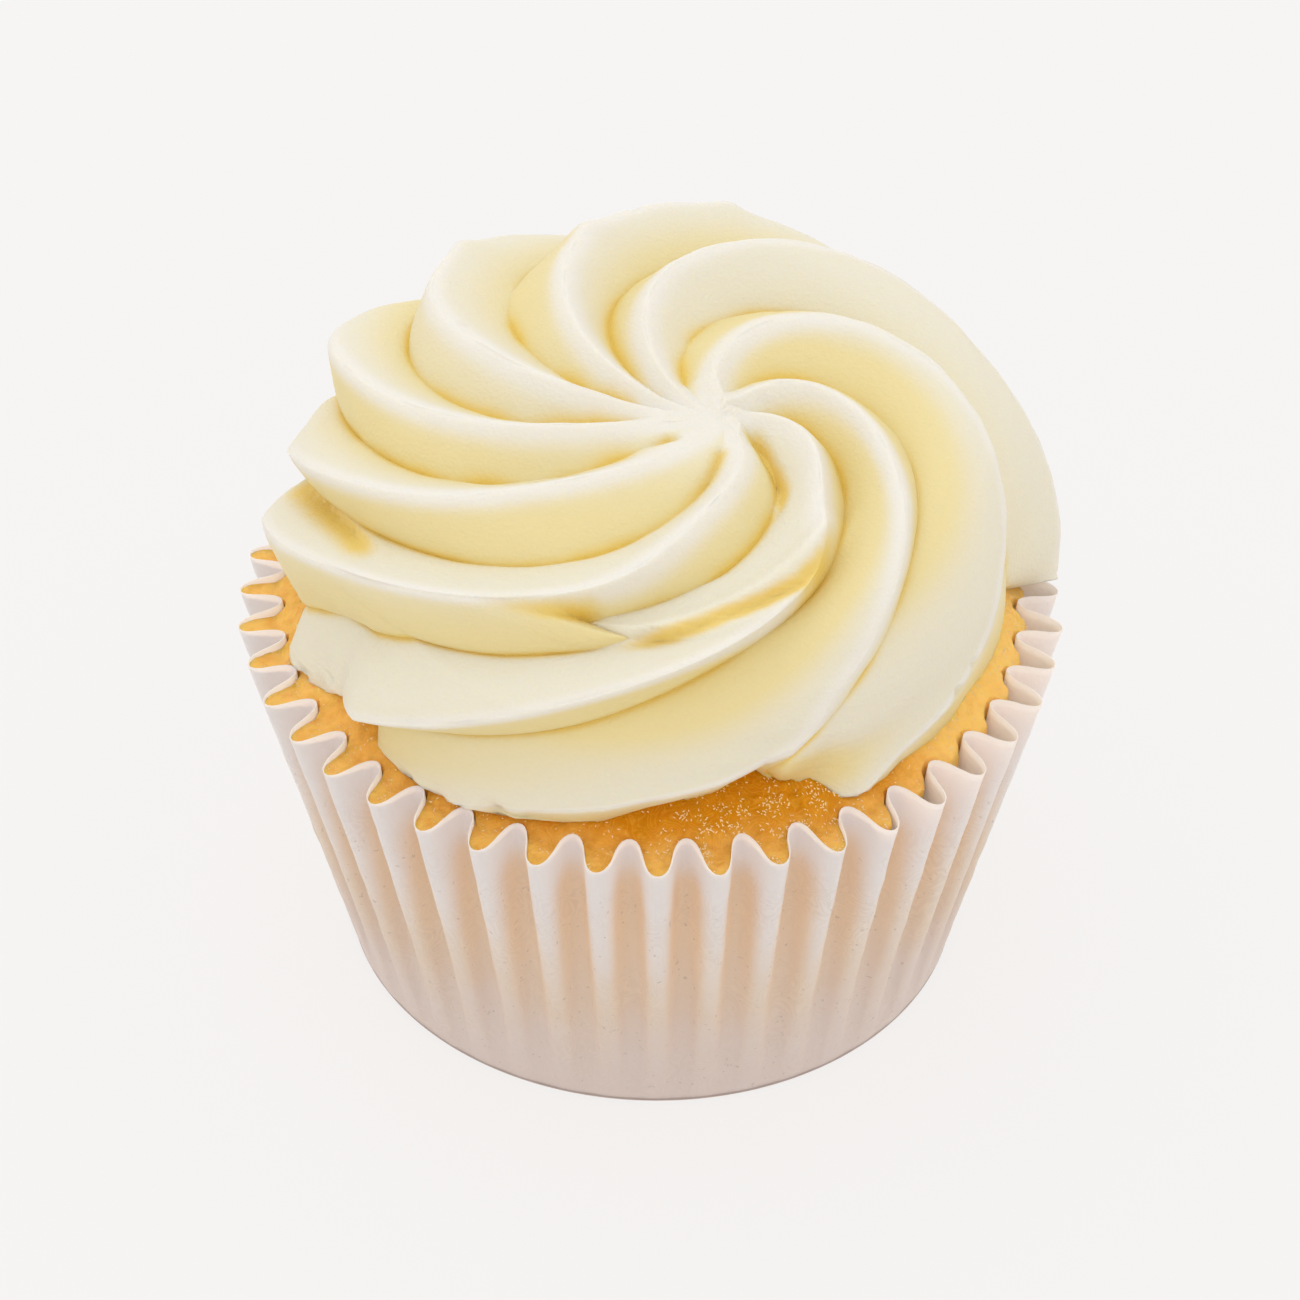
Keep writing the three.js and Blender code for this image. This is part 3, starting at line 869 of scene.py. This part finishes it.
# the sharp line along a crease, cut in and painted as shade, which comes and goes, and the pale, slightly
# wavy line along a crest, a painted highlight
CREASE_CUT = 0.4
CREASE_REACH = 0.35
CREASE_PLAIN = 0.75
CREASE_STRAY = 0.9
CREASE_LEAST = 0.15
CREASE_WAVES = 14
CREST_REACH = 0.8
CREST_END = 1.1
CREST_FADE = 0.2
CREST_WOBBLE = 0.16
CREST_WAVES = 24
CREST_WIDTH = 0.3

# how far out a place lies for its share of the way, next to the mound's radius; the depths, in millimetres,
# below which a fold's painted yellow shade and a crease's line grow faint; and the share within which crests
# hardly waver
SLANT = 0.7
FULL_DEPTH = 2.6
SHALLOW_CREASE = 1.2
SOFT_CENTRE = 0.3

# the small fold that leaves the sixth crest: its bearing where it starts, how fast it turns back on the way
# out, half its width (all in degrees), where it starts and ends, how soon it rises, and its height
BRANCH_BEARING = 303
BRANCH_TURN = 255
BRANCH_WIDTH = 7
BRANCH_FROM = 0.41
BRANCH_TO = 0.61
BRANCH_EASE = 0.06
BRANCH_HEIGHT = 0.8

# where the ragged edge of the foot starts, the soft lumps and the nicks in that edge, how far the rosette
# sits into the dome, and where the rings of its underside lie
FOOT_EDGE = 0.955
LUMP_HEIGHT = 0.05 * MM
LUMP_SIZE = 2.2 * MM
FRAY_HEIGHT = 0.4 * MM
FRAY_SIZE = 0.9 * MM
FRAY_LIMIT = 0.15
SUNK_IN = 0.1 * MM
UNDERSIDE_SHARES = (0.93, 0.8, 0.6, 0.35)


def along_fold(values, s):
    """A smooth curve through the values at the stations, running on straight before the first."""
    values = np.asarray(values, float)
    before = np.maximum(np.arange(len(values)) - 1, 0)
    after = np.minimum(np.arange(len(values)) + 1, len(values) - 1)
    slopes = (values[after] - values[before]) / (STATIONS[after] - STATIONS[before])
    i = np.clip(np.searchsorted(STATIONS, s) - 1, 0, len(values) - 2)
    width = STATIONS[i + 1] - STATIONS[i]
    t = (s - STATIONS[i]) / width
    curve = (1 + 2 * t) * (1 - t) ** 2 * values[i] + t * (1 - t) ** 2 * width * slopes[i]
    curve += t * t * (3 - 2 * t) * values[i + 1] + t * t * (t - 1) * width * slopes[i + 1]
    return np.where(s < STATIONS[0], values[0] + slopes[0] * (s - STATIONS[0]), curve)


def mound_profile(steps):
    """How far out (0 to 1) and how high (1 to 0) the mound's profile is at equal steps of its own length."""
    out = 1 - (1 - np.linspace(0, 1, 20001)) ** 3
    up = np.maximum(0, 1 - out**SIDE_POWER) ** (1 / TOP_POWER)
    length = np.r_[0, np.cumsum(np.hypot(np.diff(out) * MOUND_RADIUS, np.diff(up) * MOUND_HEIGHT))]
    wanted = np.linspace(0, length[-1], steps + 1)
    return np.interp(wanted, length, out), np.interp(wanted, length, up)


def mound_points(bearing, drop):
    """The mound's surface, sunk by drop along its normal: one row for each step out from the centre."""
    out, up = mound_profile(SWIRL_ROWS)
    dr = np.gradient(out)[1:, None] * MOUND_RADIUS
    dz = np.gradient(up)[1:, None] * MOUND_HEIGHT
    out, up = out[1:, None], up[1:, None]
    size = np.hypot(dr, dz)
    s = np.arange(1, SWIRL_ROWS + 1)[:, None] / SWIRL_ROWS
    tuck = FOOT_TUCK * np.clip((s - FOOT_START) / (1 - FOOT_START), 0, 1) ** 2
    radius = MOUND_RADIUS * out - tuck + drop * dz / size
    x = MOUND_SHIFT + (SWIRL_X - MOUND_SHIFT) * (1 - out) + radius * np.cos(bearing)
    y = SWIRL_Y * (1 - out) + radius * np.sin(bearing)
    tilt = 1 + (LEAN_BACK * y - LEAN_LEFT * x) / MOUND_HEIGHT
    dip = CENTRE_DIP * np.exp(-((out / DIP_WIDTH) ** 2))
    z = MOUND_FOOT + MOUND_HEIGHT * up * tilt - dip - drop * dr / size
    return np.stack([x, y, z], -1)


def fold_surface(index, w, s):
    """Bearing and depth from one crest (w 0) to the next (w 1), how near the crest and the crease are, as the
    crest's painted highlight and the crease's line, and the painted shade on the faces.
    """
    crest, share, depth, inset = FOLDS[index]
    following = FOLDS[(index + 1) % len(FOLDS)]
    turn = 360 if index + 1 == len(FOLDS) else 0
    first = along_fold(crest, s)
    span = along_fold(following[0], s) + turn - first
    share = along_fold(share, s)
    if index == KINKED_FOLD:
        share = share + np.interp(s, KINK_AT, KINK_BY) / span
    share = np.clip(share, 0.02, 0.95)
    fade = np.clip(s / STATIONS[0], 0, 1)
    depth = along_fold(depth, s) * fade
    near = w < 0.5
    q = np.where(near, 2 * w, 2 * (1 - w))
    slope = (np.hypot(q, CREST_ROUNDING) - CREST_ROUNDING) / (math.hypot(1, CREST_ROUNDING) - CREST_ROUNDING)
    slope = slope + FACE_HOLLOW * slope * (1 - slope)
    top = np.where(near, along_fold(inset, s), along_fold(following[3], s)) * fade
    bottom = np.maximum(depth, top)
    bearing = first + span * np.where(near, q * share, 1 - q * (1 - share))

    # distances over the surface in millimetres, from the arc between crest and crease
    arc = np.radians(span) * np.where(near, share, 1 - share) * s * SLANT * MOUND_RADIUS / MM
    # the crease's line, cut into the surface and also painted as shade, and the crest's painted highlight
    broken = np.array([noise.noise(Vector((CREASE_WAVES * v, 3.1 * index, 0.5))) for v in s[:, 0]])[:, None]
    shown = np.clip(CREASE_PLAIN + CREASE_STRAY * broken, CREASE_LEAST, 1)
    crease = np.exp(-(1 - q) * arc / CREASE_REACH) * shown * fade**3
    crease = crease * np.clip(depth / SHALLOW_CREASE, 0, 1)
    crest_highlight = np.exp(-((q * arc / CREST_REACH) ** 2)) * np.clip((CREST_END - s) / CREST_FADE, 0, 1)
    soft_start = np.clip(s / SOFT_CENTRE, 0, 1)
    wobble = np.array([noise.noise(Vector((CREST_WAVES * v, 5.3 * index, 7.5))) for v in s[:, 0]])[:, None]
    trim = np.interp(bearing % 360, TRIM_AT, TRIM_BY, left=0, right=0)
    trim = trim * np.clip((s - TRIM_START) / (1 - TRIM_START), 0, 1) ** 2
    drop = top + trim + (bottom - top) * slope + CREASE_CUT * crease
    drop = drop + CREST_WOBBLE * wobble * soft_start * np.exp(-((q / CREST_WIDTH) ** 2))
    # painted shade: the faces turn yellower towards the crease, more on some folds than others, and at the
    # centre
    hollow_shade = slope ** np.where(near, 0.25, 1.0) * np.clip((bottom - top) / FULL_DEPTH, 0, 1.2)
    hollow_shade = hollow_shade * np.where(near, *SHADE_YELLOWING[index]) + CENTRE_YELLOW * np.clip(1 - s / CENTRE_REACH, 0, 1)
    return bearing, drop, crest_highlight + 0 * bearing, hollow_shade, crease


def branch_swell(bearing, s):
    """A small fold that leaves the sixth crest and dies out in the crease behind it, in millimetres."""
    across = (bearing - BRANCH_BEARING + BRANCH_TURN * (s - BRANCH_FROM)) / BRANCH_WIDTH
    rise = np.clip((s - BRANCH_FROM) / BRANCH_EASE + 1, 0, 1)
    along = rise * np.clip((BRANCH_TO - s) / BRANCH_EASE, 0, 1)
    return BRANCH_HEIGHT * along * np.exp(-across * across)


def engraved(plain, path):
    """The depth a cut has at its nearest point, and the distance to it, for each point of the plain mound."""
    steps = np.linspace(0, 1, CUT_STEPS)
    given = np.linspace(0, 1, len(path))
    stations, bearings, depths = (np.interp(steps, given, column) for column in zip(*path))
    rows = np.clip(np.rint(stations * SWIRL_ROWS).astype(int) - 1, 0, SWIRL_ROWS - 1)
    line = mound_points(np.radians(bearings)[None, :], 0)[rows, np.arange(len(steps))]
    gap = np.full(plain.shape[:2], np.inf)
    depth = np.zeros(plain.shape[:2])
    for point, deep in zip(line, depths):
        distance = np.linalg.norm(plain - point, axis=-1) / MM
        nearer = distance < gap
        gap = np.where(nearer, distance, gap)
        depth = np.where(nearer, deep, depth)
    return depth, gap


def underside(radius):
    """The height of the rosette's underside: it sits a little into the dome and is level past its edge."""
    return np.maximum(sponge_top(np.minimum(radius, SPONGE_EDGE_RADIUS)) - SUNK_IN, OVERHANG_LEVEL)


def swirl_rings():
    s = np.arange(1, SWIRL_ROWS + 1)[:, None] / SWIRL_ROWS
    steps = np.arange(FOLD_COLUMNS) / FOLD_COLUMNS
    across = (steps - np.sin(4 * np.pi * steps) / (4 * np.pi) * COLUMN_CROWDING)[None, :]
    parts = [fold_surface(index, across, s) for index in range(len(FOLDS))]
    bearing, drop, crest_highlight, hollow_shade, crease = (np.hstack(columns) for columns in zip(*parts))
    plain = mound_points(np.radians(bearing), 0)
    drop -= branch_swell(bearing, s)
    for half_width, path in CUTS:
        depth, gap = engraved(plain, path)
        drop += depth * np.clip(1 - gap / half_width, 0, 1) ** CUT_POWER
        # painted shade along the deeper cuts, which also break the crests' painted highlight
        cut_shade = np.clip(depth / YELLOW_DEPTH, 0, 1) * np.exp(-((gap / half_width / YELLOW_REACH) ** 2))
        crease = np.maximum(crease, cut_shade)
        crest_highlight *= 1 - np.clip(depth / BREAK_DEPTH, 0, 1) * np.clip(BREAK_REACH - gap / half_width, 0, 1)
    for station, place, radius, depth in NICKS:
        gap = engraved(plain, [(station, place, depth)])[1]
        drop += depth * np.exp(-((gap / radius) ** 2))
    points = mound_points(np.radians(bearing), drop * MM)

    # never quite smooth: soft lumps all over, a ragged edge at the foot
    flat_points = points.reshape(-1, 3)
    lumps = rough(flat_points, LUMP_SIZE, 2, 3.0).reshape(bearing.shape)
    frayed = rough(flat_points, FRAY_SIZE, 3, 9.0).reshape(bearing.shape)
    outward = plain - (SWIRL_X, SWIRL_Y, MOUND_FOOT)
    outward /= np.linalg.norm(outward, axis=-1)[..., None]
    edge = np.clip((s - FOOT_EDGE) / (1 - FOOT_EDGE), 0, 1) ** 2
    points += outward * (LUMP_HEIGHT * lumps + FRAY_HEIGHT * edge * np.minimum(frayed, FRAY_LIMIT))[..., None]
    foot = points[-1]
    lift = underside(np.hypot(foot[:, 0], foot[:, 1])) - foot[:, 2]
    points[:, :, 2] += lift[None, :] * s**FOOT_BLEND
    return points, {"crest_highlight": crest_highlight, "hollow_shade": hollow_shade, "crease": crease}


def buttercream_finish():
    paint, tree, shader = new_paint(
        "vanilla_buttercream",
        {
            "Roughness": 0.5,
            "Specular IOR Level": 0.35,
            "Subsurface Weight": 0.3,
            "Subsurface Radius": (1.0, 0.8, 0.45),
            "Subsurface Scale": 0.8 * MM,
        },
    )

    # painted shade: yellower in the hollows and deepest in the creases; painted highlight: paler along the
    # crests
    layers = []
    for name, start, end, strength, tint in (
        ("hollow_shade", 0.05, 1.0, 0.9, (0.77, 0.65, 0.31, 1)),
        ("hollow_shade", 0.95, 2.0, 0.35, (0.74, 0.58, 0.21, 1)),
        ("crest_highlight", 0.1, 0.9, 0.85, (0.78, 0.755, 0.70, 1)),
        ("crease", 0.1, 0.9, 0.85, (0.80, 0.57, 0.10, 1)),
    ):
        mark = node_with(tree, "ShaderNodeAttribute", attribute_name=name)
        layers.append((Value(tree, mark.outputs["Fac"]).ramp(start, end) * strength, tint))
    layered(tree, shader, (0.75, 0.71, 0.58, 1), layers)
    here = tree.nodes.new("ShaderNodeTexCoord").outputs["Object"]
    textured(tree, shader, noise_of(tree, here, 3200, 4), 0.8, 0.1 * MM)
    return paint


swirl_points, swirl_marks = swirl_rings()
foot = swirl_points[-1]
under = []
for share in UNDERSIDE_SHARES:
    ring = foot * share
    ring[:, 2] = underside(np.hypot(ring[:, 0], ring[:, 1]))
    under.append(ring)
swirl = closed_mesh(
    "buttercream_rosette",
    (SWIRL_X, SWIRL_Y, float(swirl_points[0, :, 2].mean())),
    [*swirl_points, *under],
    (0, 0, float(underside(0.0))),
)
# the painted highlight and shade, kept on the mesh for the buttercream's colour
for name, marks in swirl_marks.items():
    layer = swirl.data.attributes.new(name, "FLOAT", "POINT")
    values = np.r_[marks[0].mean(), marks.ravel(), np.zeros(len(under) * len(foot) + 1)]
    layer.data.foreach_set("value", values.astype(np.float32))
swirl.data.materials.append(buttercream_finish())
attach(swirl, "root")
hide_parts("buttercream_swirl")
